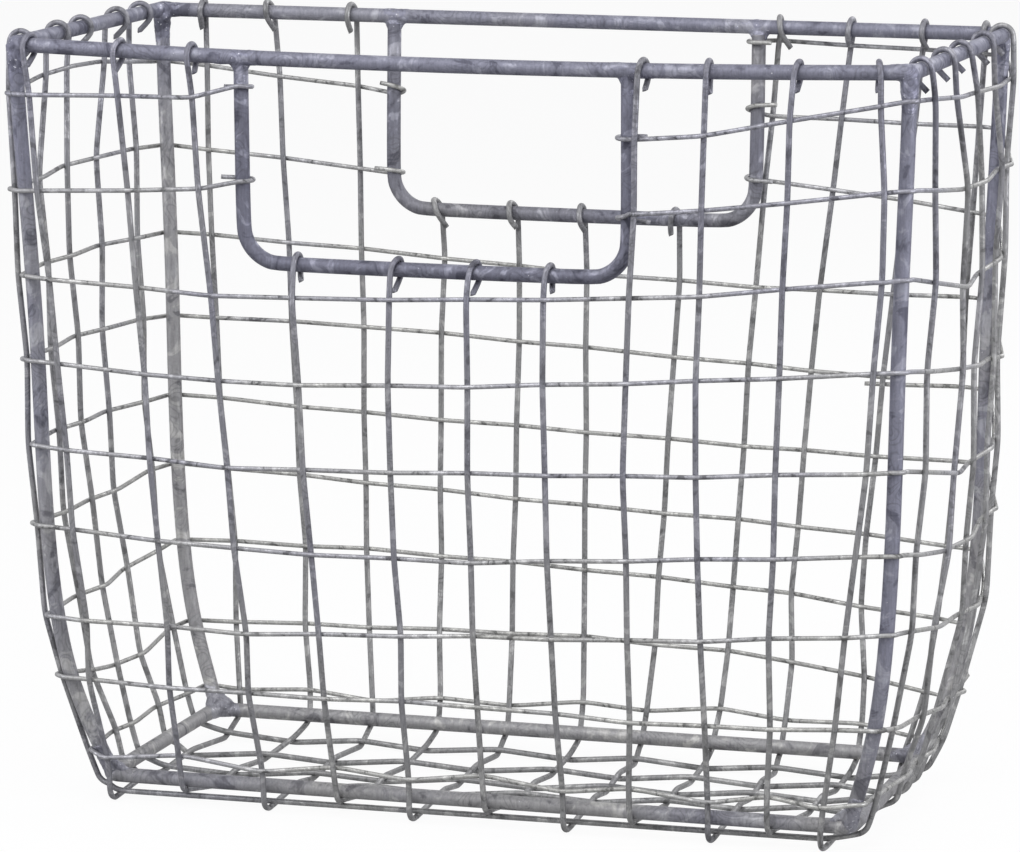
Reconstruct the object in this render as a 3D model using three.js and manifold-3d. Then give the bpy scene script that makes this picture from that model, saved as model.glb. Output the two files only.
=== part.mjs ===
// Woven wire locker basket. Round rods make the frame: a top rim, a smaller base frame, four
// corner posts and two hand holes. Thinner wires hang from the rim, run down the walls, under the
// base frame and up again, and a thin wire is woven round them in one climbing spiral.
// Millimetres, +Z up, +X to the right along the long side, the front wall faces -Y, and the floor
// wires stand on z = 0.

import * as THREE from 'three';
import { mergeVertices } from 'three/addons/utils/BufferGeometryUtils.js';
import Module from 'manifold-3d';

// Frame, measured between the centre lines of the rods
const rimWidth = 332;
const rimDepth = 150;
const baseWidth = 281;
const baseDepth = 117;
const frameHeight = 271;
const baseShift = 2.5;
const rimCornerRadius = 5;
const baseCornerRadius = 4.5;
const frontRimSag = 2.7;
const rimSkew = 1;
const backRightBulge = 3.2;
const backRightBulgePower = 0.5;

// Hand holes, measured between the centre lines of their rods
const handleWidth = 143;
const handleDepth = 73.5;
const handleBendRadius = 14;
const frontHandleShift = -8;
const backHandleShift = 2;

// Stock
const rodDiameter = 5.4;
const warpDiameter = 2;
const weftDiameter = 1.6;
const clearance = 0.3;
const postSeat = 0.6;

// Hooks and cut ends
const hookTurn = 225;
const weftTail = 5;
const spliceGap = 1;
const levelRun = 2;
const wallBulge = 2;
const footZigzag = 1.5;
const postArc = 45;
const postSlack = 0.1;

// Facets
const rodSides = 8;
const warpSides = 6;
const weftSides = 5;
const hookSteps = 7;
const bendSteps = 3;
const rodBendSteps = 5;
const postWrapSteps = 4;
const sagSteps = 6;
const settleSteps = 6;

// How much of the lean between rim and base a corner post has made at shares of its height
const postHeightShares = [0, 0.04, 0.08, 0.12, 0.15, 0.21, 0.3, 0.39, 0.5, 0.62, 0.77, 0.9, 1];
const postLeanShares = [1, 0.9, 0.75, 0.63, 0.55, 0.44, 0.35, 0.3, 0.265, 0.235, 0.16, 0.08, 0.05];

// Heights at which the wires on a wall have their place given, from the top down
const legHeightShares = [1, 0.8, 0.5, 0.22, 0];

// Each long wall has three bays, left of its hand hole, under it and right of it. These are the
// places of the front to back wires in them, from left to right, as shares of their bay's width at
// those heights. The wires of the middle bay hang from the hand hole's bottom rod.
const frontBayShares = [
  [
    [0.07, 0.08, 0.13, 0.165, 0.03],
    [0.47, 0.49, 0.525, 0.56, 0.415],
    [0.795, 0.815, 0.875, 0.93, 0.85],
  ],
  [
    [0.12, 0.12, 0.14, 0.17, 0.14],
    [0.4, 0.395, 0.38, 0.4, 0.37],
    [0.6, 0.6, 0.595, 0.605, 0.605],
    [0.8, 0.8, 0.8, 0.82, 0.85],
  ],
  [
    [0.055, 0.05, 0.015, 0.045, 0.075],
    [0.295, 0.295, 0.28, 0.32, 0.41],
    [0.6, 0.595, 0.58, 0.575, 0.66],
    [0.9, 0.95, 0.91, 0.845, 0.885],
  ],
];
const backBayShares = [
  [
    [0.18, 0.155, 0.17, 0.22, 0.105],
    [0.47, 0.48, 0.505, 0.53, 0.455],
    [0.815, 0.805, 0.81, 0.805, 0.77],
  ],
  [
    [0.13, 0.12, 0.095, 0.09, 0.065],
    [0.33, 0.33, 0.32, 0.305, 0.295],
    [0.515, 0.515, 0.515, 0.515, 0.535],
    [0.82, 0.805, 0.76, 0.735, 0.74],
  ],
  [
    [0.07, 0.025, -0.04, -0.075, -0.045],
    [0.37, 0.315, 0.23, 0.185, 0.295],
    [0.67, 0.625, 0.545, 0.485, 0.675],
    [0.92, 0.905, 0.885, 0.845, 0.9],
  ],
];

// Places of the left to right wires on the left and the right wall, from front to back, as shares
// of the wall's width at those heights
const leftLegShares = [
  [0.06, 0.005, 0.005, 0.02, 0.01],
  [0.295, 0.2, 0.22, 0.27, 0.235],
  [0.45, 0.375, 0.41, 0.475, 0.375],
  [0.69, 0.6, 0.6, 0.655, 0.62],
  [0.855, 0.865, 0.875, 0.915, 0.9],
];
const rightLegShares = [
  [0.075, 0.18, 0.13, 0.075, 0.05],
  [0.31, 0.49, 0.48, 0.345, 0.465],
  [0.49, 0.69, 0.64, 0.65, 0.625],
  [0.735, 0.895, 0.875, 0.84, 0.775],
  [0.96, 0.98, 0.98, 0.98, 0.95],
];

// Hooks of the hanging wires, in the same order. Each was bent by hand: how far it has gone aside
// at its top, at the end of its turn and at its cut end, and its tail's length, all as shares of
// the wire's diameter.
const frontHookShares = [
  [0.85, 1.15, 0.45, 2.9],
  [0.85, 0.7, 0, 2.9],
  [0.2, 0.55, 0.75, 2],
  [0.15, 0.1, 0.6, 1.5],
  [1, 0.85, 0.45, 3],
  [0.85, 1, 0.45, 2.9],
  [0.5, 0.4, 0.75, 1.6],
  [0.5, 1, 0.9, 2.2],
  [0, -0.2, 0.3, 2.7],
  [0.5, 0.25, 0.1, 2.2],
  [-0.95, -1.25, -1, 2],
];
const backHookShares = [
  [0.5, 0.2, -0.15, 2.5],
  [-0.85, 0, 0.5, 2.2],
  [-0.5, -0.6, -0.6, 2.2],
  [-1.15, 0.85, 1.4, 2],
  [-1, -0.3, 0.2, 1.3],
  [-0.2, 0.15, 0.5, 1.5],
  [-0.3, -0.8, -1, 1.5],
  [0.1, 1, 1.9, 2.9],
  [0.1, -0.4, -0.45, 1.5],
  [0, -0.2, 0.35, 2.2],
  [0, -0.25, -0.5, 2],
];
const leftHookShares = [
  [0.5, 1, 1, 2.5],
  [0.5, 1.1, 1.2, 2.3],
  [0.4, 1, 1, 2.2],
  [0.5, 1.3, 1.2, 2.7],
  [0.5, 1.2, 1.1, 2.5],
];
const rightHookShares = [
  [0.6, 1.3, 1.6, 2.9],
  [0.5, 1.2, 1.4, 2.5],
  [0.5, 1, 1.2, 2.2],
  [0.6, 1.2, 1.4, 2.7],
  [-0.5, -1.3, -1.3, 2.2],
];

// Heights of the woven wire as shares of the frame's height, one line for each turn from the top
// down. Each turn goes along the front wall from left to right, then back along the right wall,
// along the back wall from right to left and forward along the left wall.
const longKnotShares = [-1, -0.5, 0, 0.5, 1];
const frontHeightShares = [
  [0.935, 0.94, 0.9, 0.905, 0.965],
  [0.805, 0.82, 0.8, 0.81, 0.85],
  [0.69, 0.675, 0.685, 0.7, 0.735],
  [0.575, 0.56, 0.57, 0.59, 0.615],
  [0.46, 0.445, 0.455, 0.465, 0.485],
  [0.35, 0.335, 0.335, 0.355, 0.375],
  [0.225, 0.22, 0.235, 0.245, 0.27],
  [0.14, 0.135, 0.14, 0.13, 0.14],
  [0.035, 0.03, 0.035, 0.03, 0.035],
];
const sideKnotShares = [-1, 0, 1];
const rightHeightShares = [
  [0.965, 0.945, 0.94],
  [0.85, 0.82, 0.825],
  [0.735, 0.69, 0.705],
  [0.615, 0.58, 0.56],
  [0.485, 0.44, 0.445],
  [0.375, 0.335, 0.35],
  [0.27, 0.235, 0.225],
  [0.14, 0.11, 0.095],
  [0.035, 0.03, 0.03],
];
const backHeightShares = [
  [0.98, 0.98, 0.98, 0.98, 0.97],
  [0.925, 0.895, 0.885, 0.875, 0.87],
  [0.805, 0.78, 0.78, 0.785, 0.75],
  [0.68, 0.665, 0.645, 0.635, 0.635],
  [0.56, 0.555, 0.54, 0.525, 0.51],
  [0.445, 0.43, 0.42, 0.41, 0.405],
  [0.345, 0.33, 0.315, 0.305, 0.285],
  [0.235, 0.235, 0.225, 0.21, 0.18],
  [0.12, 0.125, 0.13, 0.12, 0.08],
  [0.03, 0.025, 0.035, 0.04, 0.025],
];
const leftHeightShares = [
  [0.935, 0.95, 0.925],
  [0.805, 0.815, 0.805],
  [0.69, 0.69, 0.68],
  [0.575, 0.575, 0.56],
  [0.46, 0.455, 0.445],
  [0.35, 0.34, 0.345],
  [0.225, 0.22, 0.235],
  [0.14, 0.105, 0.12],
  [0.035, 0.035, 0.03],
];

// Rows of the woven wire. The first two stop at the hand holes, and the spiral is spliced once.
const rowUnderHandle = 3;
const spliceRow = 4;
const lastRow = 9;
const spliceStartShare = 0.7;
const spliceEndShare = 0.85;

// Ends of the woven wire at the hand holes: the rise of the half turn over its row, the rise of the
// cut end over the half turn, and the tail's length, all as shares of the wire's diameter
const topRightEndShares = { back: [0, 0, 3.1], front: [0, 0.2, 3.1] };
const topLeftEndShares = { front: [3, -0.8, 4.4], back: [-0.75, 3, 2.2] };
const secondRightEndShares = { back: [0.5, 2.7, 4.7], front: [-0.7, -1.7, 3.8] };
const secondLeftEndShares = { front: [1.7, 0.3, 5.4], back: [-0.6, 1.7, 3.4] };
const spiralEndShares = [1.7, -1, 4];

// Share of the weave's step that the stiffer wires give way by
const warpWaveShare = 0.33;

// Surface of the galvanised rods and wires
const metalness = 0.8;
const rodRoughness = 0.45;
const warpRoughness = 0.42;
const weftRoughness = 0.3;
const rodColour = '#83848f';
const warpColour = '#75767f';
const weftColour = '#97958f';

const rodRadius = rodDiameter / 2;
const warpRadius = warpDiameter / 2;
const weftRadius = weftDiameter / 2;
const up = new THREE.Vector3(0, 0, 1);
const alongX = new THREE.Vector3(1, 0, 0);
const alongY = new THREE.Vector3(0, 1, 0);

// Distances of wire centre lines from the rod that they pass
const warpStandoff = rodRadius + clearance + warpRadius;
const weftStandoff = rodRadius + clearance + weftRadius;
const layerStep = warpDiameter + clearance;
const middleDepth = warpStandoff + layerStep;
const lowerDepth = middleDepth + layerStep;
const weaveStep = warpRadius + weftRadius + clearance;
const warpWave = weaveStep * warpWaveShare;
const weftWave = weaveStep - warpWave;
const meshStandoff = weftStandoff + weftWave;

// The lowest floor wires lie on z = 0 with a flat of their section
const baseLevel = lowerDepth + warpRadius * Math.cos(Math.PI / warpSides);
const rimLevel = baseLevel + frameHeight;
const rimShear = rimSkew / (rimDepth / 2);

function stepShares(steps) {
  return Array.from({ length: steps + 1 }, (_, i) => i / steps);
}

// Value of a line through the knots, which rise or fall
function between(knots, values, at) {
  const rising = knots[0] < knots[knots.length - 1];
  let i = 1;
  while (i < knots.length - 1 && (rising ? at > knots[i] : at < knots[i])) i += 1;
  const t = (at - knots[i - 1]) / (knots[i] - knots[i - 1]);
  return THREE.MathUtils.lerp(values[i - 1], values[i], THREE.MathUtils.clamp(t, 0, 1));
}

// A path that has a ring of the tube at each of its points. The section's flats keep square to
// the path and to one fixed direction, so that a level wire has a level underside.
class RodPath extends THREE.Curve {
  constructor(points, across) {
    super();
    this.points = points;
    this.across = across;
  }

  getPointAt(share) {
    return this.points[Math.round(share * (this.points.length - 1))].clone();
  }

  computeFrenetFrames() {
    const { points, across } = this;
    const last = points.length - 1;
    const frames = { tangents: [], normals: [], binormals: [] };
    for (let i = 0; i <= last; i += 1) {
      const before = points[i].clone().sub(points[Math.max(i - 1, 0)]).normalize();
      const after = points[Math.min(i + 1, last)].clone().sub(points[i]).normalize();
      const tangent = before.add(after).normalize();
      const normal = tangent.clone().cross(across).normalize();
      frames.tangents.push(tangent);
      frames.normals.push(normal);
      frames.binormals.push(tangent.clone().cross(normal));
    }
    return frames;
  }
}

// Regular polygon with a flat, not a corner, on each side of its middle
function roundSection(diameter, sides) {
  const shape = new THREE.Shape();
  for (let i = 0; i < sides; i += 1) {
    const angle = ((i + 1 / 2) / sides) * 2 * Math.PI;
    const x = (diameter / 2) * Math.cos(angle);
    const y = (diameter / 2) * Math.sin(angle);
    if (i === 0) shape.moveTo(x, y);
    else shape.lineTo(x, y);
  }
  shape.closePath();
  return shape;
}

function tube(points, section, across) {
  return new THREE.ExtrudeGeometry(section, {
    steps: points.length - 1,
    extrudePath: new RodPath(points, across),
  });
}

const wasm = await Module();
wasm.setup();

function toSolid(geometry) {
  const bare = geometry.clone();
  bare.deleteAttribute('normal');
  bare.deleteAttribute('uv');
  const merged = mergeVertices(bare);
  return new wasm.Manifold(new wasm.Mesh({
    numProp: 3,
    vertProperties: new Float32Array(merged.attributes.position.array),
    triVerts: new Uint32Array(merged.index.array),
  }));
}

function toGeometry(solid) {
  const mesh = solid.getMesh();
  const geometry = new THREE.BufferGeometry();
  geometry.setAttribute('position', new THREE.BufferAttribute(mesh.vertProperties, 3));
  geometry.setIndex(new THREE.BufferAttribute(mesh.triVerts, 1));
  return geometry;
}

const rodSection = roundSection(rodDiameter, rodSides);
const warpSection = roundSection(warpDiameter, warpSides);
const weftSection = roundSection(weftDiameter, weftSides);

const basket = new THREE.Group();

function addPiece(name, geometry, colour, roughness) {
  const material = new THREE.MeshStandardMaterial({ color: colour, roughness, metalness });
  const mesh = new THREE.Mesh(geometry, material);
  mesh.name = name;
  basket.add(mesh);
}

// Centre line of a corner post at a share of the frame's height; right and back are 1 or -1
function cornerAt(right, back, heightShare) {
  const lean = between(postHeightShares, postLeanShares, heightShare);
  const bulgeTurn = Math.PI * Math.max(0, heightShare) ** backRightBulgePower;
  const bulge = right > 0 && back > 0 ? backRightBulge * Math.sin(bulgeTurn) : 0;
  const x = THREE.MathUtils.lerp((right * rimWidth) / 2, (right * baseWidth) / 2 + baseShift, lean);
  const y = (back * THREE.MathUtils.lerp(rimDepth, baseDepth, lean)) / 2;
  const skew = back * rimSkew * Math.max(0, 2 * heightShare - 1);
  return new THREE.Vector3(x + bulge + skew, y, baseLevel + heightShare * frameHeight);
}

// The four walls: the posts at their ends, the way out, the way along, and their wires. The
// woven wire passes outside a hanging wire where their numbers add up to an even number, and on
// the end walls to an odd one.
const walls = {
  front: {
    ends: [[-1, -1], [1, -1]],
    out: alongY.clone().negate(),
    along: alongX,
    bays: frontBayShares,
    hooks: frontHookShares,
    knotShares: longKnotShares,
    heightShares: frontHeightShares,
    firstRow: 1,
    outsideRest: 0,
    handleShift: frontHandleShift,
  },
  back: {
    ends: [[-1, 1], [1, 1]],
    out: alongY,
    along: alongX,
    bays: backBayShares,
    hooks: backHookShares,
    knotShares: longKnotShares,
    heightShares: backHeightShares,
    firstRow: 0,
    outsideRest: 0,
    handleShift: backHandleShift,
  },
  left: {
    ends: [[-1, -1], [-1, 1]],
    out: alongX.clone().negate(),
    along: alongY,
    bays: [leftLegShares],
    hooks: leftHookShares,
    knotShares: sideKnotShares,
    heightShares: leftHeightShares,
    firstRow: 1,
    outsideRest: 1,
  },
  right: {
    ends: [[1, -1], [1, 1]],
    out: alongX,
    along: alongY,
    bays: [rightLegShares],
    hooks: rightHookShares,
    knotShares: sideKnotShares,
    heightShares: rightHeightShares,
    firstRow: 1,
    outsideRest: 1,
  },
};

// Point of a wall at a share of half its width, standing off the plane of its posts
function wallPoint(wall, share, heightShare, standoff) {
  const from = cornerAt(...wall.ends[0], heightShare);
  const to = cornerAt(...wall.ends[1], heightShare);
  const slack = Math.max(0, 1 - share * share) * Math.sin(Math.PI * heightShare);
  const mid = from.lerp(to, (1 + share) / 2);
  return mid.addScaledVector(wall.out, standoff + wallBulge * slack);
}

// Point of the rim before it is skewed
function squareRimPoint(wall, share) {
  const sag = wall === walls.front ? frontRimSag * (1 - share * share) : 0;
  const half = wall.along === alongX ? rimWidth / 2 : rimDepth / 2;
  const away = wall.along === alongX ? rimDepth / 2 : rimWidth / 2;
  const point = wall.along.clone().multiplyScalar(share * half);
  return point.addScaledVector(wall.out, away).setZ(rimLevel - sag);
}

function rimPoint(wall, share) {
  const point = squareRimPoint(wall, share);
  return point.addScaledVector(alongX, rimShear * point.y);
}

function basePoint(wall, share) {
  const half = wall.along === alongX ? baseWidth / 2 : baseDepth / 2;
  const away = wall.along === alongX ? baseDepth / 2 : baseWidth / 2;
  const point = wall.along.clone().multiplyScalar(share * half);
  point.addScaledVector(wall.out, away).setZ(baseLevel);
  return point.addScaledVector(alongX, baseShift);
}

// Half of a closed frame, from the middle of its left side to the middle of its right side
function halfFrame(wall, sidePoint, cornerRadius, steps) {
  const points = [sidePoint(walls.left, 0)];
  const addCorner = (side, share, turns) => {
    const centre = sidePoint(wall, share).setZ(sidePoint(side, 0).z);
    centre.addScaledVector(wall.out, -cornerRadius).addScaledVector(side.out, -cornerRadius);
    for (const turn of turns) {
      const angle = (turn * Math.PI) / 2;
      const point = centre.clone().addScaledVector(side.out, cornerRadius * Math.cos(angle));
      points.push(point.addScaledVector(wall.out, cornerRadius * Math.sin(angle)));
    }
  };
  const turns = stepShares(rodBendSteps);
  addCorner(walls.left, -1, turns);
  for (let i = 1; i < steps; i += 1) points.push(sidePoint(wall, (2 * i) / steps - 1));
  addCorner(walls.right, 1, turns.reverse());
  points.push(sidePoint(walls.right, 0));
  return tube(points, rodSection, up);
}

function addFrame(name, sidePoint, cornerRadius, frontSteps, shear) {
  const front = toSolid(halfFrame(walls.front, sidePoint, cornerRadius, frontSteps));
  const back = toSolid(halfFrame(walls.back, sidePoint, cornerRadius, 1));
  const ring = toGeometry(front.add(back));
  ring.applyMatrix4(new THREE.Matrix4().makeShear(0, 0, shear, 0, 0, 0));
  addPiece(name, ring, rodColour, rodRoughness);
}

addFrame('top_rim', squareRimPoint, rimCornerRadius, sagSteps, rimShear);
addFrame('base_frame', basePoint, baseCornerRadius, 1, 0);

// Corner posts stand on the corners of the base frame and end under the rim
function addPost(name, right, back) {
  const inset = baseCornerRadius * (1 - Math.SQRT1_2);
  const under = basePoint(back > 0 ? walls.back : walls.front, right);
  under.sub(new THREE.Vector3(right * inset, back * inset, 0));
  const lean = cornerAt(right, back, postHeightShares[1]).sub(under).normalize();
  const points = [under.addScaledVector(lean, rodRadius + postSeat)];
  for (const share of postHeightShares.slice(1, -1)) points.push(cornerAt(right, back, share));
  points.push(cornerAt(right, back, 1 - (rodRadius + postSeat) / frameHeight));
  addPiece(name, tube(points, rodSection, alongX), rodColour, rodRoughness);
}

addPost('front_left_post', -1, -1);
addPost('front_right_post', 1, -1);
addPost('back_left_post', -1, 1);
addPost('back_right_post', 1, 1);

// Hand holes: each is a rod bent to a U, whose ends are welded under the rim
function handleBottom(wall) {
  return rimPoint(wall, 0).z - handleDepth;
}

function handlePoint(wall, x, z) {
  const mid = cornerAt(...wall.ends[0], (z - baseLevel) / frameHeight);
  return new THREE.Vector3(x, mid.y, z);
}

function addHandle(name, wall) {
  const points = [];
  for (const side of [-1, 1]) {
    const x = wall.handleShift + (side * handleWidth) / 2;
    const rim = rimPoint(wall, x / (rimWidth / 2));
    const leg = [handlePoint(wall, x, rim.z - rodRadius - clearance)];
    for (const turn of stepShares(rodBendSteps)) {
      const angle = (turn * Math.PI) / 2;
      const inward = handleBendRadius * (1 - Math.cos(angle));
      const rise = handleBendRadius * (1 - Math.sin(angle));
      leg.push(handlePoint(wall, x - side * inward, handleBottom(wall) + rise));
    }
    points.push(...(side < 0 ? leg : leg.reverse()));
  }
  addPiece(name, tube(points, rodSection, alongY), rodColour, rodRoughness);
}

addHandle('front_handle', walls.front);
addHandle('back_handle', walls.back);

function rowHeight(wall, row, share) {
  return between(wall.knotShares, wall.heightShares[row - wall.firstRow], share);
}

// Place of a hand hole's upright on its wall, from -1 at the left end of the wall to 1
function handleShare(wall, side) {
  return (wall.handleShift + (side * handleWidth) / 2) / (rimWidth / 2);
}

// Number of a wire's bay. Wires are numbered from 1 and bays from 0.
function bayOf(wall, wire) {
  let left = wire;
  return wall.bays.findIndex((bay) => {
    left -= bay.length;
    return left <= 0;
  });
}

// Place of a hanging wire on its wall
function wireShare(wall, wire, heightShare) {
  const inBay = between(legHeightShares, wall.bays.flat()[wire - 1], heightShare);
  const sides = wall.bays.length > 1 ? [handleShare(wall, -1), handleShare(wall, 1)] : [];
  const bay = [-1, ...sides, 1].slice(bayOf(wall, wire));
  return THREE.MathUtils.lerp(bay[0], bay[1], inBay);
}

// Crossing of a hanging wire with a row of the woven wire
function crossing(wall, wire, row) {
  const zigzag = row === lastRow && wall.along === alongX ? footZigzag / frameHeight : 0;
  let height = 1;
  let share = 0;
  for (let i = 0; i < settleSteps; i += 1) {
    share = wireShare(wall, wire, height);
    height = rowHeight(wall, row, share) + (wire % 2 === 0 ? zigzag : -zigzag);
  }
  return { share, height, outside: (row + wire) % 2 === wall.outsideRest };
}

// End of a hanging wire round a rod: the cut tail, then up and over the rod to its outside
function hook(wall, wire, centre) {
  const turn = THREE.MathUtils.degToRad(hookTurn);
  const radius = warpStandoff / Math.cos(turn / (2 * hookSteps));
  const [asideAtTop, asideAtTurn, asideAtEnd, tail] = (
    wall.hooks[wire - 1].map((share) => share * warpDiameter)
  );
  const points = stepShares(hookSteps).map((step) => {
    const angle = step * turn;
    const aside = between([0, Math.PI / 2, turn], [0, asideAtTop, asideAtTurn], angle);
    const point = centre.clone().addScaledVector(wall.out, radius * Math.cos(angle));
    return point.addScaledVector(up, radius * Math.sin(angle)).addScaledVector(wall.along, aside);
  });
  const end = points[hookSteps].clone().addScaledVector(wall.out, -tail * Math.sin(turn));
  end.addScaledVector(up, tail * Math.cos(turn)).addScaledVector(wall.along, asideAtEnd - asideAtTurn);
  return [...points, end].reverse();
}

// Hanging part of a wire on one wall, from its cut end down to the lowest row
function hangingPart(wall, wire) {
  const topShare = wireShare(wall, wire, 1);
  const bay = bayOf(wall, wire);
  let centre = rimPoint(wall, topShare);
  let topRow = 1;
  if (wall === walls.back && bay > 1) topRow = 0;
  if (bay === 1) {
    const { share } = crossing(wall, wire, rowUnderHandle);
    const level = (handleBottom(wall) - baseLevel) / frameHeight;
    centre = handlePoint(wall, wallPoint(wall, share, level, 0).x, handleBottom(wall));
    topRow = rowUnderHandle;
  }
  const points = hook(wall, wire, centre);
  for (let row = topRow; row <= lastRow; row += 1) {
    const { share, height, outside } = crossing(wall, wire, row);
    const standoff = meshStandoff + (outside ? -warpWave : warpWave);
    points.push(wallPoint(wall, share, height, standoff));
  }
  return points;
}

// Places where the wires go round the base frame and cross each other under it
function footPoint(wall, wire, turn, depth) {
  const angle = (turn * Math.PI) / 2;
  const point = basePoint(wall, wireShare(wall, wire, 0));
  point.addScaledVector(wall.out, THREE.MathUtils.lerp(meshStandoff, depth, turn) * Math.cos(angle));
  return point.addScaledVector(up, -depth * Math.sin(angle));
}

function floorCrossing(long, cross) {
  const [front, back, left, right] = [
    footPoint(walls.front, long, 1, 0), footPoint(walls.back, long, 1, 0),
    footPoint(walls.left, cross, 1, 0), footPoint(walls.right, cross, 1, 0),
  ];
  const point = front.clone();
  for (let i = 0; i < bendSteps; i += 1) {
    const t = (point.x - left.x) / (right.x - left.x);
    point.y = THREE.MathUtils.lerp(left.y, right.y, t);
    const s = (point.y - front.y) / (back.y - front.y);
    point.x = THREE.MathUtils.lerp(front.x, back.x, s);
  }
  return point;
}

// Depths under the centre line of the base frame at a crossing. The first cross wire lies right
// under the frame's front rod, so every second long wire goes between it and the rod.
function longDepth(long, cross) {
  if ((long + cross) % 2 === 0) return lowerDepth;
  return cross === 1 ? warpStandoff : middleDepth;
}

function crossDepth(long, cross) {
  return (long + cross) % 2 === 0 || cross === 1 ? middleDepth : lowerDepth;
}

// Runs level for a little where it is lowest, which is where the basket stands
function addFloorPoint(points, place, along, depth) {
  place.z = baseLevel - depth;
  const runs = depth === lowerDepth ? [-levelRun / 2, levelRun / 2] : [0];
  for (const run of runs) points.push(place.clone().addScaledVector(along, run));
}

function addWire(name, from, to, wire, floorPoints, entryDepth, along) {
  const points = hangingPart(from, wire);
  for (const turn of stepShares(bendSteps)) points.push(footPoint(from, wire, turn, entryDepth));
  points.push(...floorPoints);
  const far = hangingPart(to, wire);
  for (const turn of stepShares(bendSteps)) far.push(footPoint(to, wire, turn, warpStandoff));
  points.push(...far.reverse());
  addPiece(name, tube(points, warpSection, along), warpColour, warpRoughness);
}

const longCount = frontBayShares.flat().length;
const crossCount = leftLegShares.length;

for (let long = 1; long <= longCount; long += 1) {
  const floor = [];
  for (let cross = 1; cross <= crossCount; cross += 1) {
    addFloorPoint(floor, floorCrossing(long, cross), alongY, longDepth(long, cross));
  }
  const entryDepth = longDepth(long, 1);
  addWire(`long_wire_${long}`, walls.front, walls.back, long, floor, entryDepth, alongX);
}

for (let cross = 1; cross <= crossCount; cross += 1) {
  const floor = [];
  for (let long = 1; long <= longCount; long += 1) {
    addFloorPoint(floor, floorCrossing(long, cross), alongX, crossDepth(long, cross));
  }
  addWire(`cross_wire_${cross}`, walls.left, walls.right, cross, floor, warpStandoff, alongY);
}

// Woven wire. It goes downwards in laps: forward along the right wall, leftward along the front,
// back along the left wall and rightward along the back.
const lapOrder = [walls.right, walls.front, walls.left, walls.back];

function travel(wall) {
  return wall === walls.front || wall === walls.right ? -1 : 1;
}

// Points past the hanging wires of one wall between two shares of its width. Beside a post the
// wire bends round the hanging wire in an arc, or goes straight on to the post. As far as dropTo
// it lies lower by the drop.
function spanPoints({ wall, row, from, to, drop = 0, dropTo = from, tailStart = 0, tailEnd = 0 }) {
  const points = [];
  let [tightStart, tightEnd] = [false, false];
  const wires = wall.bays.flat().map((shares, i) => i + 1);
  if (travel(wall) < 0) wires.reverse();
  for (const wire of wires) {
    const { share, height, outside } = crossing(wall, wire, row);
    const warp = wallPoint(wall, share, height, meshStandoff + (outside ? -warpWave : warpWave));
    if (share < dropTo) warp.addScaledVector(up, -drop);
    const width = cornerAt(...wall.ends[1], height).sub(cornerAt(...wall.ends[0], height));
    const gaps = [from, to].map((end) => (Math.abs(share - end) * width.length()) / 2);
    const gap = Math.min(...gaps);
    if ((share - from) * (share - to) <= 0 && (outside || gap > warpRadius)) {
      if (outside && gaps[0] < warpStandoff) tightStart = true;
      if (outside && gaps[1] < warpStandoff) tightEnd = true;
      for (const turn of outside && gap < 2 * warpStandoff ? [-postArc, 0, postArc] : [0]) {
        const angle = THREE.MathUtils.degToRad(turn * travel(wall));
        const step = outside ? weaveStep : -weaveStep;
        const point = warp.clone().addScaledVector(wall.out, step * Math.cos(angle));
        points.push(point.addScaledVector(wall.along, step * Math.sin(angle)));
      }
    }
  }
  const ahead = wall.along.clone().multiplyScalar(travel(wall));
  if (tailStart) points.unshift(points[0].clone().addScaledVector(ahead, -tailStart));
  if (tailEnd) points.push(points[points.length - 1].clone().addScaledVector(ahead, tailEnd));
  return { points, tightStart, tightEnd };
}

// Arc round an upright rod, from one way out to another
function arcRound(axisAt, startOut, endOut, fromHeight, toHeight, shares) {
  const radius = (weftStandoff + postSlack) / Math.cos(Math.PI / (4 * postWrapSteps));
  return shares.map((share) => {
    const angle = (share * Math.PI) / 2;
    const point = axisAt(THREE.MathUtils.lerp(fromHeight, toHeight, share));
    point.addScaledVector(startOut, radius * Math.cos(angle));
    return point.addScaledVector(endOut, radius * Math.sin(angle));
  });
}

function cornerPoints(before, after, spanBefore, spanAfter) {
  const end = travel(before.wall);
  const [right, back] = before.wall.ends[end < 0 ? 0 : 1];
  const fromHeight = rowHeight(before.wall, before.row, end);
  const toHeight = rowHeight(after.wall, after.row, -travel(after.wall));
  const shares = stepShares(postWrapSteps).filter((share) => (
    (!spanBefore.tightEnd || share >= 1 / 2) && (!spanAfter.tightStart || share <= 1 / 2)
  ));
  const axisAt = (height) => cornerAt(right, back, height);
  return arcRound(axisAt, before.wall.out, after.wall.out, fromHeight, toHeight, shares);
}

// End of the woven wire: a half turn round the upright of a hand hole and a short tail
function handleEnd(wall, side, row, endShares) {
  const [rise, tailRise, tail] = endShares.map((share) => share * weftDiameter);
  const x = wall.handleShift + (side * handleWidth) / 2;
  const height = rowHeight(wall, row, x / (rimWidth / 2)) + rise / frameHeight;
  const axisAt = () => handlePoint(wall, x, baseLevel + height * frameHeight);
  const inward = alongX.clone().multiplyScalar(-side);
  const shares = stepShares(2 * postWrapSteps).map((share) => 2 * share);
  const points = arcRound(axisAt, wall.out, inward, height, height, shares);
  points.forEach((point, i) => point.addScaledVector(up, (tailRise * i) / points.length));
  const end = points[points.length - 1].clone().addScaledVector(inward, -tail);
  points.push(end.addScaledVector(up, tailRise / points.length));
  return points;
}

function addWoven(name, spans, startEnd, lastEnd) {
  const parts = spans.map(spanPoints);
  const points = [];
  if (startEnd) points.push(...handleEnd(...startEnd).reverse());
  spans.forEach((span, i) => {
    points.push(...parts[i].points);
    if (i < spans.length - 1) {
      points.push(...cornerPoints(span, spans[i + 1], parts[i], parts[i + 1]));
    }
  });
  if (lastEnd) points.push(...handleEnd(...lastEnd));
  addPiece(name, tube(points, weftSection, up), weftColour, weftRoughness);
}

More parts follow.
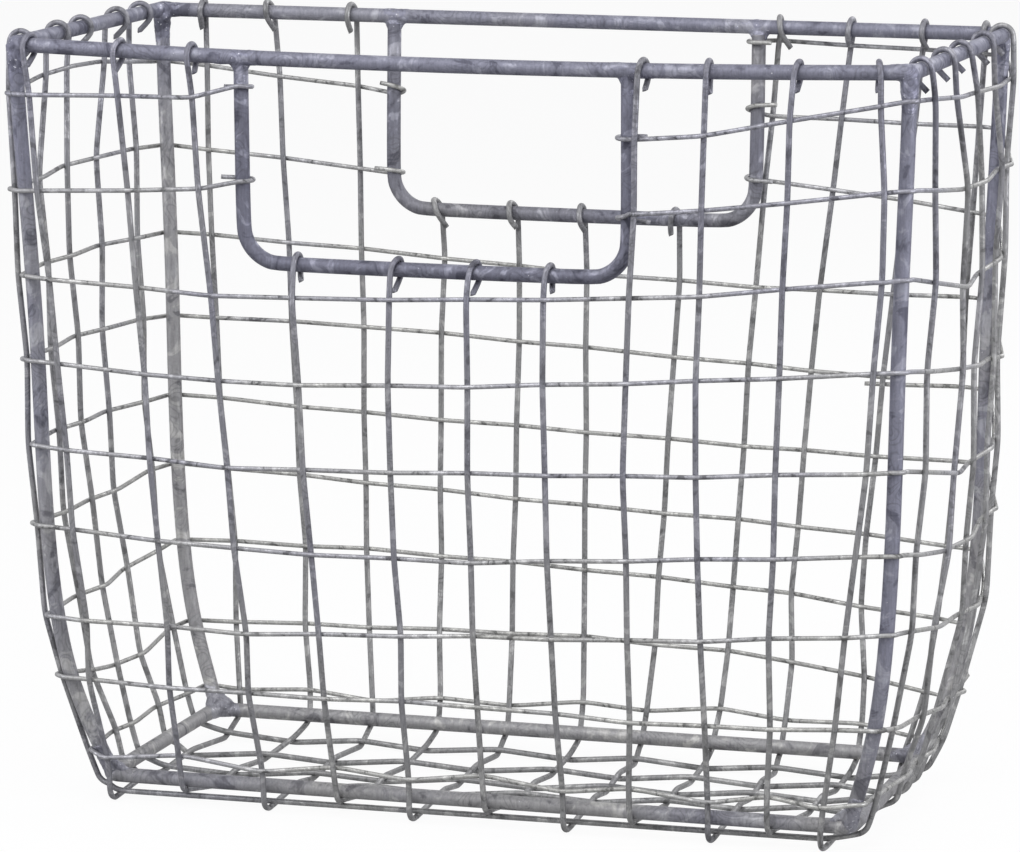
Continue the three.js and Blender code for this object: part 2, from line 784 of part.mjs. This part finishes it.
function fullSpan(wall, row) {
  return { wall, row, from: -travel(wall), to: travel(wall) };
}

for (const [name, row, rightEnds, leftEnds] of [
  ['top_woven_wire', 1, topRightEndShares, topLeftEndShares],
  ['second_woven_wire', 2, secondRightEndShares, secondLeftEndShares],
]) {
  const right = [
    { wall: walls.back, row: row - 1, from: handleShare(walls.back, 1), to: 1 },
    fullSpan(walls.right, row),
    { wall: walls.front, row, from: 1, to: handleShare(walls.front, 1) },
  ];
  const backEnd = [walls.back, 1, row - 1, rightEnds.back];
  addWoven(`${name}_right`, right, backEnd, [walls.front, 1, row, rightEnds.front]);
  const left = [
    { wall: walls.front, row, from: handleShare(walls.front, -1), to: -1 },
    fullSpan(walls.left, row),
    { wall: walls.back, row, from: -1, to: handleShare(walls.back, -1) },
  ];
  const frontEnd = [walls.front, -1, row, leftEnds.front];
  addWoven(`${name}_left`, left, frontEnd, [walls.back, -1, row, leftEnds.back]);
}

function laps(fromRow, toRow) {
  const spans = [];
  for (let row = fromRow; row <= toRow; row += 1) {
    for (const wall of lapOrder) spans.push(fullSpan(wall, row));
  }
  return spans;
}

const upper = laps(rowUnderHandle, spliceRow);
upper.unshift({
  wall: walls.back, row: rowUnderHandle - 1, from: handleShare(walls.back, 1), to: 1,
});
Object.assign(upper[upper.length - 1], { to: spliceEndShare, tailEnd: weftTail });
const spiralEnd = [walls.back, 1, rowUnderHandle - 1, spiralEndShares];
addWoven('spiral_wire_upper', upper, spiralEnd, null);

const lower = laps(spliceRow + 1, lastRow);
lower.unshift({
  wall: walls.back,
  row: spliceRow,
  from: spliceStartShare,
  to: 1,
  drop: weftDiameter + spliceGap,
  dropTo: spliceEndShare,
  tailStart: weftTail,
});
lower[lower.length - 1].tailEnd = weftTail;
addWoven('spiral_wire_lower', lower, null, null);

// Middle of the basket's outline over the origin
const outline = new THREE.Box3().setFromObject(basket);
const middle = outline.getCenter(new THREE.Vector3()).setZ(0);
for (const piece of basket.children) piece.geometry.translate(-middle.x, -middle.y, 0);

export default basket;
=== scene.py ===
import math

import bmesh
import bpy
from mathutils import Matrix, Vector


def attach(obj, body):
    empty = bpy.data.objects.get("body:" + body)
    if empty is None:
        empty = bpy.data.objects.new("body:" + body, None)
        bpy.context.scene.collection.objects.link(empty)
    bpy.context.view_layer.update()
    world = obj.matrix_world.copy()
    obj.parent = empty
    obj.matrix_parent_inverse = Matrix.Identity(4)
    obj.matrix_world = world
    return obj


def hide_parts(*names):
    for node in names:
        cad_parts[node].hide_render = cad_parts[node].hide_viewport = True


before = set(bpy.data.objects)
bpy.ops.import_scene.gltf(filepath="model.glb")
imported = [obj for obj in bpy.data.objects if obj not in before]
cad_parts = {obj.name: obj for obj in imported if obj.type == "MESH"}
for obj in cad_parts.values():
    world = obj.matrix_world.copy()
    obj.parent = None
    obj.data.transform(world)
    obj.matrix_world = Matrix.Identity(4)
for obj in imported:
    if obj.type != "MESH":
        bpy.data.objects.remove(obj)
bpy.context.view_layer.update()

# Studio
# A long lens looks a little down at the front wall from the right. The floor and everything
# behind the basket are white paper. A large soft lamp is above, one stands behind, and there is
# a small one on each side.

mm = 0.001
camera_target = Vector((-1.48, 0, 137.41)) * mm
camera_distance = 2.0101
camera_azimuth = math.radians(16.53)
camera_elevation = math.radians(9.51)
camera_roll = math.radians(0.16)
focal_length_in_pixels = 5448.2
picture_width_in_pixels = 1020
sensor_width_in_mm = 36

back = Vector((math.sin(camera_azimuth) * math.cos(camera_elevation),
               -math.cos(camera_azimuth) * math.cos(camera_elevation),
               math.sin(camera_elevation)))
level = Vector((math.cos(camera_azimuth), math.sin(camera_azimuth), 0))
upward = back.cross(level)
right = math.cos(camera_roll) * level + math.sin(camera_roll) * upward
top = math.cos(camera_roll) * upward - math.sin(camera_roll) * level

bpy.ops.object.select_all(action="DESELECT")
bpy.ops.object.camera_add()
camera = bpy.context.object
camera.data.sensor_width = sensor_width_in_mm
camera.data.lens = focal_length_in_pixels / picture_width_in_pixels * sensor_width_in_mm
camera.data.clip_start = 0.1
camera.data.clip_end = 50
turn = Matrix((right, top, back)).transposed().to_4x4()
camera.matrix_world = Matrix.Translation(camera_target + camera_distance * back) @ turn
bpy.context.scene.camera = camera
bpy.context.scene.view_settings.view_transform = "Standard"


def linear(colour):
    values = [int(colour[i:i + 2], 16) / 255 for i in (1, 3, 5)]
    return [v / 12.92 if v <= 0.04045 else ((v + 0.055) / 1.055) ** 2.4 for v in values] + [1]


def add_node(tree, kind, settings=None, links=None):
    made = tree.nodes.new(kind)
    for name, value in (settings or {}).items():
        if isinstance(name, int) or name in made.inputs:
            made.inputs[name].default_value = value
        else:
            setattr(made, name, value)
    for name, source in (links or {}).items():
        tree.links.new(source, made.inputs[name])
    return made


# 1 where the paper is seen, straight on or in a reflection, and 0 where it only lights the basket
def paper_is_seen(tree):
    path = add_node(tree, "ShaderNodeLightPath")
    shown = add_node(tree, "ShaderNodeMath", {"operation": "MAXIMUM"},
                     {0: path.outputs["Is Camera Ray"], 1: path.outputs["Is Glossy Ray"]})
    shown = add_node(tree, "ShaderNodeMath", {"operation": "MAXIMUM"},
                     {0: shown.outputs[0], 1: path.outputs["Is Transmission Ray"]})
    return shown.outputs[0]


room_light = 0.34
world = bpy.data.worlds.new("white_paper_room")
bpy.context.scene.world = world
world.use_nodes = True
tree = world.node_tree
tree.nodes.clear()
soft = add_node(tree, "ShaderNodeBackground",
                {"Color": linear("#fafaff"), "Strength": room_light})
white = add_node(tree, "ShaderNodeBackground", {"Color": (1, 1, 1, 1), "Strength": 1})
mixed = add_node(tree, "ShaderNodeMixShader", {},
                 {0: paper_is_seen(tree), 1: soft.outputs[0], 2: white.outputs[0]})
add_node(tree, "ShaderNodeOutputWorld", {}, {0: mixed.outputs[0]})

# Each lamp's place and width in metres, its power in watts and its colour
lamps_aim_at = Vector((0, 0, 0.12))
for name, place, width, power, tint in (
        ("soft_lamp_above", (-0.2, -1.2, 1.45), 2, 19.5, "#ffffff"),
        ("soft_lamp_behind", (0.5, 1.1, 0.9), 1, 5, "#ffffff"),
        ("soft_lamp_left", (-0.85, -0.5, 0.4), 0.6, 2.4, "#f8f8ff"),
        ("soft_lamp_right", (0.9, -0.2, 0.4), 0.6, 3.9, "#fafaff")):
    bpy.ops.object.light_add(type="AREA", location=place)
    lamp = bpy.context.object
    lamp.name = name
    lamp.data.shape = "DISK"
    lamp.data.size = width
    lamp.data.energy = power
    lamp.data.color = linear(tint)[:3]
    lamp.rotation_euler = (lamps_aim_at - Vector(place)).to_track_quat("-Z", "Y").to_euler()

# Matt white paper under the lowest wires. Its own glow makes it as white as the paper behind,
# and the rest is the light on it, in which the basket's faint shadow shows.
floor_level = -0.2 * mm
paper_glow = 0.935
bpy.ops.mesh.primitive_circle_add(vertices=64, radius=14, fill_type="NGON",
                                  location=(0, 0, floor_level))
floor = bpy.context.object
floor.name = "paper_floor"
paper = bpy.data.materials.new("white_paper")
paper.use_nodes = True
tree = paper.node_tree
tree.nodes.clear()
matt = add_node(tree, "ShaderNodeBsdfDiffuse", {"Color": linear("#484848")})
strength = add_node(tree, "ShaderNodeMath", {"operation": "MULTIPLY", 1: paper_glow},
                    {0: paper_is_seen(tree)})
glow = add_node(tree, "ShaderNodeEmission", {"Color": (1, 1, 1, 1)},
                {"Strength": strength.outputs[0]})
both = add_node(tree, "ShaderNodeAddShader", {}, {0: matt.outputs[0], 1: glow.outputs[0]})
add_node(tree, "ShaderNodeOutputMaterial", {}, {0: both.outputs[0]})
floor.data.materials.append(paper)

# Frame rods
# Round mild-steel rod, bent and butt-welded, then dipped in zinc. Two rings and four posts make
# the frame, and a thinner-looking coat is left on the two rods that are bent round the hand holes.


# Hot-dip zinc that has dulled: cloudy patches of three tones, a tint by the side to which the
# zinc drained, rings where it froze last, brush marks, and bright specks that are partly beads of
# clean metal and partly painted glints
def zinc(name, tones, skins, drain, cloud_mm, grain_mm, lump_mm, rough, glint_and_bead_level):
    dark, body, pale = tones
    material = bpy.data.materials.new(name)
    material.use_nodes = True
    tree = material.node_tree
    shader = tree.nodes["Principled BSDF"]
    where = add_node(tree, "ShaderNodeTexCoord").outputs["Object"]

    # Clouds, with a stepped ramp that gives them the edges of a dried wash
    clouds = add_node(tree, "ShaderNodeTexNoise",
                      {"Scale": 1000 / cloud_mm, "Detail": 3, "Roughness": 0.6, "Distortion": 1.4},
                      {"Vector": where})
    colour = add_node(tree, "ShaderNodeValToRGB", {}, {0: clouds.outputs[0]})
    ramp = colour.color_ramp
    ramp.elements[0].position = 0.35
    ramp.elements[0].color = linear(dark)
    ramp.elements[1].position = 0.62
    ramp.elements[1].color = linear(pale)
    ramp.elements.new(0.43).color = linear(body)
    ramp.elements.new(0.55).color = linear(body)

    # Violet-grey where the skin is thin, and a warmer grey on the side to which the zinc drained
    skin_mm = 83.33
    drained = add_node(tree, "ShaderNodeVectorMath", {"operation": "DOT_PRODUCT", 1: drain},
                       {0: where})
    skin = add_node(tree, "ShaderNodeTexNoise",
                    {"Scale": 1000 / skin_mm, "Detail": 3, "Distortion": 0.5}, {"Vector": where})
    thick = add_node(tree, "ShaderNodeMath", {"operation": "ADD"},
                     {0: drained.outputs["Value"], 1: skin.outputs[0]})
    tint = add_node(tree, "ShaderNodeValToRGB", {}, {0: thick.outputs[0]})
    ramp = tint.color_ramp
    ramp.elements[0].position = 0.06
    ramp.elements[0].color = linear(skins[0])
    ramp.elements[1].position = 0.4
    ramp.elements[1].color = linear(skins[1])

    # Tide lines, where the zinc ran off and froze in rings round the last wet spots. They show
    # in some stretches of the rod only.
    pool_mm = 8.333
    rings_per_pool = 9
    stretch_mm = 33.33
    darkest_ring = 0.25
    pools = add_node(tree, "ShaderNodeTexNoise",
                     {"Scale": 1000 / pool_mm, "Detail": 0, "Distortion": 0.3}, {"Vector": where})
    levels = add_node(tree, "ShaderNodeMath", {"operation": "MULTIPLY", 1: rings_per_pool},
                      {0: pools.outputs[0]})
    rings = add_node(tree, "ShaderNodeMath", {"operation": "PINGPONG", 1: 0.5},
                     {0: levels.outputs[0]})
    lines = add_node(tree, "ShaderNodeMapRange",
                     {"From Min": 0, "From Max": 0.24, "To Min": 1, "To Max": 0},
                     {0: rings.outputs[0]})
    stretches = add_node(tree, "ShaderNodeTexNoise", {"Scale": 1000 / stretch_mm, "Detail": 1},
                         {"Vector": where})
    strength = add_node(tree, "ShaderNodeMapRange",
                        {"From Min": 0.46, "From Max": 0.56, "To Min": 0, "To Max": darkest_ring},
                        {0: stretches.outputs[0]})
    marked = add_node(tree, "ShaderNodeMath", {"operation": "MULTIPLY"},
                      {0: lines.outputs[0], 1: strength.outputs[0]})
    ringed = add_node(tree, "ShaderNodeMath", {"operation": "SUBTRACT", 0: 1},
                      {1: marked.outputs[0]})

    # Slanting brush marks and grain, 13% darker and lighter than the zinc. Real grain is finer,
    # and is drawn as coarse as it needs to show.
    mark_mm = grain_mm / 0.9
    slant = add_node(tree, "ShaderNodeMapping",
                     {"Rotation": (0.6, 0.5, 0.8), "Scale": (1, 1, 0.12)}, {0: where})
    marks = add_node(tree, "ShaderNodeTexNoise",
                     {"Scale": 1000 / mark_mm, "Detail": 2, "Roughness": 0.6},
                     {"Vector": slant.outputs[0]})
    grain = add_node(tree, "ShaderNodeTexNoise",
                     {"Scale": 1000 / grain_mm, "Detail": 2, "Roughness": 0.6}, {"Vector": where})
    mixed = add_node(tree, "ShaderNodeMath", {"operation": "MULTIPLY_ADD", 1: 2},
                     {0: marks.outputs[0], 2: grain.outputs[0]})
    spread = add_node(tree, "ShaderNodeMapRange",
                      {"From Min": 1.1, "From Max": 1.9, "To Min": 0.87, "To Max": 1.13},
                      {0: mixed.outputs[0]})
    shade = add_node(tree, "ShaderNodeMath", {"operation": "MULTIPLY"},
                     {0: spread.outputs[0], 1: ringed.outputs[0]})
    shaded = add_node(tree, "ShaderNodeMix", {"data_type": "RGBA", "blend_type": "MULTIPLY", 0: 1},
                      {6: colour.outputs[0], 7: shade.outputs[0]})
    tinted = add_node(tree, "ShaderNodeMix", {"data_type": "RGBA", "blend_type": "MULTIPLY", 0: 1},
                      {6: shaded.outputs[2], 7: tint.outputs[0]})

    # Small bright specks in the base colour, partly beads of clean zinc and partly painted glints
    # of light, fewer where the level is higher
    glint_and_bead_mm = 1.25 * grain_mm
    glint_and_bead_noise = add_node(tree, "ShaderNodeTexNoise", {"Scale": 1000 / glint_and_bead_mm, "Detail": 1},
                     {"Vector": where})
    painted_glint_and_bead = add_node(tree, "ShaderNodeMapRange",
                      {"From Min": glint_and_bead_level, "From Max": glint_and_bead_level + 0.05,
                       "To Min": 0, "To Max": 0.8},
                      {0: glint_and_bead_noise.outputs[0]})
    glinted_and_beaded = add_node(tree, "ShaderNodeMix", {"data_type": "RGBA", 7: linear("#e6e7ee")},
                      {0: painted_glint_and_bead.outputs[0], 6: tinted.outputs[2]})
    # The specks go into the base colour: painted glints as well as beads of clean zinc
    tree.links.new(glinted_and_beaded.outputs[2], shader.inputs["Base Color"])

    # Dull metal under its own oxide, glossier on the pale patches
    shader.inputs["Metallic"].default_value = 0.35
    shader.inputs["Specular IOR Level"].default_value = 0.3
    shader.inputs["Specular Tint"].default_value = linear("#9a9aa2")
    gloss = add_node(tree, "ShaderNodeMapRange",
                     {"From Min": 0.35, "From Max": 0.65,
                      "To Min": rough + 0.12, "To Max": rough - 0.12},
                     {0: clouds.outputs[0]})
    tree.links.new(gloss.outputs[0], shader.inputs["Roughness"])

    # Low swellings in the coat, and the grain on them
    swell_mm = 2.857
    swell = add_node(tree, "ShaderNodeTexNoise",
                     {"Scale": 1000 / swell_mm, "Detail": 2, "Roughness": 0.5}, {"Vector": where})
    low = add_node(tree, "ShaderNodeBump", {"Strength": 0.5, "Distance": lump_mm * mm},
                   {"Height": swell.outputs[0]})
    bump = add_node(tree, "ShaderNodeBump", {"Strength": 0.3, "Distance": 0.15 * mm},
                    {"Height": grain.outputs[0], "Normal": low.outputs[0]})
    tree.links.new(bump.outputs[0], shader.inputs["Normal"])
    return material


# On the frame's rods the coat is thick: a dull blue-grey with paler runs. On the rods of the hand
# holes it is thin, so the grey is darker, and only the back one has a warm side.
rod_skins = ("#d5d6e9", "#fdfcfb")
rod_drain = (-0.9, 2.2, -2.2)
hand_hole_drain = (0.6, 3, -2.2)
rod_zinc = zinc("hot_dip_zinc_on_rod", ("#808084", "#a2a2a4", "#bfbfbe"), rod_skins, rod_drain,
                cloud_mm=13, grain_mm=0.8, lump_mm=0.25, rough=0.54, glint_and_bead_level=0.78)
dark_zinc = zinc("thin_zinc_on_hand_hole_rod", ("#6e6e72", "#8f8f92", "#b4b4b5"), rod_skins,
                 hand_hole_drain,
                 cloud_mm=13, grain_mm=0.8, lump_mm=0.25, rough=0.54, glint_and_bead_level=0.78)


def copy_of(node, piece_name):
    bpy.ops.object.select_all(action="DESELECT")
    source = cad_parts[node]
    source.select_set(True)
    bpy.context.view_layer.objects.active = source
    bpy.ops.object.duplicate()
    piece = bpy.context.object
    piece.name = piece_name
    piece.parent = None
    for key in [k for k in piece.keys() if k.startswith("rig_")]:
        del piece[key]
    return piece


# Turns a faceted copy into a round bar. Rounding draws it in, so it is fattened first. Its end
# faces stay sharp, and where the bar is cut wire they are drawn out by the length of the wedge
# that side cutters leave.
def round_off(node, piece_name, fatten, wedge, material):
    longest_face = 12 * mm
    piece = copy_of(node, piece_name)
    bpy.ops.object.mode_set(mode="EDIT")
    bpy.ops.mesh.select_mode(type="VERT")
    bpy.ops.mesh.select_all(action="SELECT")
    bpy.ops.mesh.remove_doubles(threshold=1e-6)
    bpy.ops.mesh.tris_convert_to_quads(face_threshold=math.radians(30),
                                       shape_threshold=math.radians(179))
    bpy.ops.mesh.select_all(action="DESELECT")
    bpy.ops.mesh.select_mode(type="EDGE")
    bpy.ops.mesh.edges_select_sharp(sharpness=math.radians(80))
    bpy.ops.transform.edge_crease(value=1)
    if wedge:
        shape = bmesh.from_edit_mesh(piece.data)
        loops = [edge for edge in shape.edges if edge.select]
        rim = {vert for edge in loops for vert in edge.verts}
        for face in shape.faces:
            face.select_set(all(vert in rim for vert in face.verts))
        bmesh.update_edit_mesh(piece.data)
        bpy.ops.mesh.select_mode(type="FACE")
        bpy.ops.mesh.extrude_region_move()
        pinch_ends(piece, wedge)
        bpy.ops.mesh.select_mode(type="EDGE")
        bpy.ops.transform.edge_crease(value=0.8)
        bpy.ops.mesh.select_all(action="DESELECT")
        shape = bmesh.from_edit_mesh(piece.data)
        for edge in shape.edges:
            edge.select_set(edge.calc_length() > longest_face)
        bmesh.update_edit_mesh(piece.data)
        bpy.ops.mesh.subdivide(number_cuts=3)
    bpy.ops.mesh.select_all(action="SELECT")
    bpy.ops.transform.shrink_fatten(value=fatten)
    bpy.ops.object.mode_set(mode="OBJECT")
    rounding = piece.modifiers.new("rounding", "SUBSURF")
    rounding.levels = 2
    rounding.render_levels = 2
    bpy.ops.object.modifier_apply(modifier=rounding.name)
    bpy.ops.object.shade_smooth()
    piece.data.materials.clear()
    piece.data.materials.append(material)
    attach(piece, "root")
    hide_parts(node)
    return piece


# Squeezes the selected end faces of a wire, each across its own middle, and draws them out
def pinch_ends(piece, wedge):
    cutter_lean = Vector((0.6, 0.3, 0.74))
    squeeze = 0.85
    shape = bmesh.from_edit_mesh(piece.data)
    caps = [face for face in shape.faces if face.select]
    while caps:
        cap = [caps.pop()]
        for face in cap:
            joined = [other for other in caps if set(other.verts) & set(face.verts)]
            cap += joined
            caps = [other for other in caps if other not in joined]
        verts = {vert for face in cap for vert in face.verts}
        middle = sum((vert.co for vert in verts), Vector()) / len(verts)
        ahead = sum((face.normal for face in cap), Vector()).normalized()
        across = ahead.cross(cutter_lean).normalized()
        for vert in verts:
            away = (vert.co - middle).dot(across)
            vert.co += ahead * wedge - across * away * squeeze
    bmesh.update_edit_mesh(piece.data)


rod_fatten = 0.29 * mm
for node in ("top_rim", "base_frame", "front_left_post", "front_right_post", "back_left_post",
             "back_right_post"):
    round_off(node, f"{node}_rod", rod_fatten, 0, rod_zinc)
for node in ("front_handle", "back_handle"):
    round_off(node, f"{node}_rod", rod_fatten, 0, dark_zinc)

# Welds
# Where the posts and the hand holes' rods meet the frames, the rods are melted together and the
# dip has filled the corners with zinc. Each joint is a smooth, slightly lumpy swelling.

# Zinc over weld metal is rougher to the touch and glossier than on the rod, stays violet-grey to
# the foot of the basket, and has more bright specks, partly beads and partly painted glints
weld_skins = ("#d2d3e8", "#eeeef5")
weld_zinc = zinc("zinc_over_weld_metal", ("#7b7b7f", "#a1a1a4", "#c5c5c5"), weld_skins, rod_drain,
                 cloud_mm=13, grain_mm=0.7, lump_mm=0.5, rough=0.42, glint_and_bead_level=0.69)
weld_lumps = bpy.data.textures.new("weld_lumps", "CLOUDS")
weld_lumps.noise_scale = 3 * mm
rod_radius = 2.7 * mm


# Middle of the end face of a rod, which has the corners that are nearest to a place
def rod_end(node, place):
    corners_of_end = 8
    corners = {tuple(round(c, 7) for c in vert.co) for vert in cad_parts[node].data.vertices}
    near = sorted((Vector(corner) for corner in corners), key=lambda c: (c - place).length)
    return sum(near[:corners_of_end], Vector()) / corners_of_end


def cone(start, end, start_radius, end_radius, flat=1):
    along = end - start
    bpy.ops.mesh.primitive_cone_add(vertices=40, radius1=start_radius, radius2=end_radius,
                                    depth=along.length, location=(start + end) / 2)
    made = bpy.context.object
    made.scale = (1, flat, 1)
    bpy.ops.object.transform_apply(location=False, rotation=False, scale=True)
    made.rotation_euler = along.to_track_quat("Z", "Y").to_euler()
    return made


def ball(place, radius):
    bpy.ops.mesh.primitive_uv_sphere_add(segments=32, ring_count=16, radius=radius, location=place)
    return bpy.context.object


# Joins cones and balls under one skin, lets it flow and gives it its lumps
def melt(name, parts, softness):
    bpy.ops.object.select_all(action="DESELECT")
    for part in parts:
        part.select_set(True)
    bpy.context.view_layer.objects.active = parts[0]
    bpy.ops.object.join()
    piece = bpy.context.object
    piece.name = name
    bpy.ops.object.transform_apply(location=True, rotation=True, scale=True)
    skin = piece.modifiers.new("skin", "REMESH")
    skin.mode = "VOXEL"
    skin.voxel_size = 0.35 * mm
    bpy.ops.object.modifier_apply(modifier=skin.name)
    flow = piece.modifiers.new("flow", "SMOOTH")
    flow.factor = 0.5
    flow.iterations = softness
    bpy.ops.object.modifier_apply(modifier=flow.name)
    dross = piece.modifiers.new("dross", "DISPLACE")
    dross.texture = weld_lumps
    dross.texture_coords = "GLOBAL"
    dross.strength = 0.7 * mm
    bpy.ops.object.modifier_apply(modifier=dross.name)
    bpy.ops.object.shade_smooth()
    piece.data.materials.clear()
    piece.data.materials.append(weld_zinc)
    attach(piece, "root")
    return piece


# Where the rods' middle lines meet at the corners of the two rings. The rim's front side is a
# little further to the left than its back, and the base is to the right of both.
rim_half_length = 166 * mm
rim_half_depth = 75 * mm
rim_level = 280.47 * mm
rim_shift = -0.3 * mm
rim_skew = 1 * mm
base_half_length = 140.5 * mm
base_half_depth = 58.5 * mm
base_level = 9.47 * mm
base_shift = 2.2 * mm

# A weld runs out just under the skin of each rod. At the foot of a post it also has webs, which
# fill the angles between the post and the frame, and a lump inside the corner. The welds at the
# front are smaller.
above = Vector((0, 0, 1))
run_out = 2.55 * mm
top_reach = 10 * mm
foot_reach = 12 * mm
web_height = 6 * mm
web_length = 9 * mm
foot_sizes = {"front": (3.3 * mm, 1.4 * mm, 2.2 * mm), "back": (3.5 * mm, 1.4 * mm, 2.4 * mm)}
for back_side, depth_name in ((-1, "front"), (1, "back")):
    for side, side_name in ((-1, "left"), (1, "right")):
        post = f"{depth_name}_{side_name}_post"
        inward = Vector((-side, 0, 0))
        sideways = Vector((0, -back_side, 0))
        inside = inward + sideways
        corner = Vector((side * rim_half_length + rim_shift + back_side * rim_skew,
                         back_side * rim_half_depth, rim_level))
        bend = corner + inside * 1.5 * mm
        under = rod_end(post, bend)
        melt(f"{post}_top_weld", [
            cone(bend, under - above * 11 * mm, 3.7 * mm, run_out),
            cone(bend, corner + inward * top_reach, 3.2 * mm, run_out),
            cone(bend, corner + sideways * top_reach, 3.2 * mm, run_out),
            ball(bend, 3.1 * mm),
            ball(bend + inside * 1.8 * mm - above * 2.6 * mm, 2.2 * mm),
        ], softness=14)
        corner = Vector((side * base_half_length + base_shift,
                         back_side * base_half_depth, base_level))
        bend = corner + inside * 1.4 * mm
        foot = rod_end(post, bend)
        rise = (foot - bend).normalized()
        size, web, lump = foot_sizes[depth_name]
        melt(f"{post}_foot_weld", [
            cone(bend, foot + rise * 10 * mm, size, 2.5 * mm),
            cone(bend, corner + inward * foot_reach, size - 0.4 * mm, run_out),
            cone(bend, corner + sideways * foot_reach, size - 0.4 * mm, run_out),
            cone(foot + rise * web_height, corner + inward * web_length, web, web),
            cone(foot + rise * web_height, corner + sideways * web_length, web, web),
            ball(bend, 3 * mm),
            ball(bend + inside * 2.4 * mm + rise * 2.4 * mm, lump),
        ], softness=14)

# The hand holes' rods meet the rim in a flat fillet that widens along it. The front hole is
# further to the left than the back one.
hole_half_width = 71.5 * mm
hole_shift = -3.3 * mm
hole_skew = 5 * mm
hole_top = 276 * mm
weld_gap = 0.3 * mm
for back_side, depth_name in ((-1, "front"), (1, "back")):
    for side, side_name in ((-1, "left"), (1, "right")):
        near_top = Vector((side * hole_half_width + hole_shift + back_side * hole_skew,
                           back_side * rim_half_depth, hole_top))
        under = rod_end(f"{depth_name}_handle", near_top)
        joint = Vector((under.x, back_side * rim_half_depth, under.z + rod_radius + weld_gap))
        along = Vector((top_reach, 0, 0))
        melt(f"{depth_name}_handle_{side_name}_weld", [
            cone(under - above * 6 * mm, under + above * mm, 2.6 * mm, 2.35 * mm),
            cone(under - above * 2.6 * mm, joint, 2.3 * mm, 5.4 * mm, flat=0.48),
            cone(joint - along, joint, run_out, 2.8 * mm),
            cone(joint, joint + along, 2.8 * mm, run_out),
        ], softness=12)

# Hanging wires
# Soft galvanised wire, hooked over the rods with pliers and cut with side cutters. Eleven wires
# run from front to back and five from side to side, under the basket.

# Zinc on soft wire is dull like the frame's, a little darker, with smaller clouds along the wire
wire_skins = ("#e2e2f2", "#fdfdfc")
wire_drain = (0, 1.6, -1.1)
wire_zinc = zinc("zinc_on_soft_wire", ("#767677", "#949495", "#b0b0b0"), wire_skins, wire_drain,
                 cloud_mm=9, grain_mm=0.7, lump_mm=0.08, rough=0.44, glint_and_bead_level=0.8)
hanging_fatten = 0.28 * mm
hanging_wedge = 0.9 * mm
for i in range(1, 12):
    round_off(f"long_wire_{i}", f"long_hanging_wire_{i}", hanging_fatten, hanging_wedge,
              wire_zinc)
for i in range(1, 6):
    round_off(f"cross_wire_{i}", f"cross_hanging_wire_{i}", hanging_fatten, hanging_wedge,
              wire_zinc)

# Woven wire
# Thinner wire, woven by hand through the hanging wires and pulled tight round the posts. It ends
# in hooks round the hand holes' uprights, and in a splice on the back wall.

# Zinc on drawn wire is paler and shinier than the rest, with dark specks where the bath missed it
bright_zinc = zinc("zinc_on_drawn_wire", ("#747473", "#adadab", "#cdcdca"), wire_skins,
                   wire_drain,
                   cloud_mm=6, grain_mm=0.6, lump_mm=0.05, rough=0.36, glint_and_bead_level=0.76)
woven_fatten = 0.3 * mm
woven_wedge = 0.6 * mm
for node in ("top_woven_wire_right", "top_woven_wire_left", "second_woven_wire_right",
             "second_woven_wire_left", "spiral_wire_upper", "spiral_wire_lower"):
    round_off(node, node.replace("wire", "strand"), woven_fatten, woven_wedge, bright_zinc)
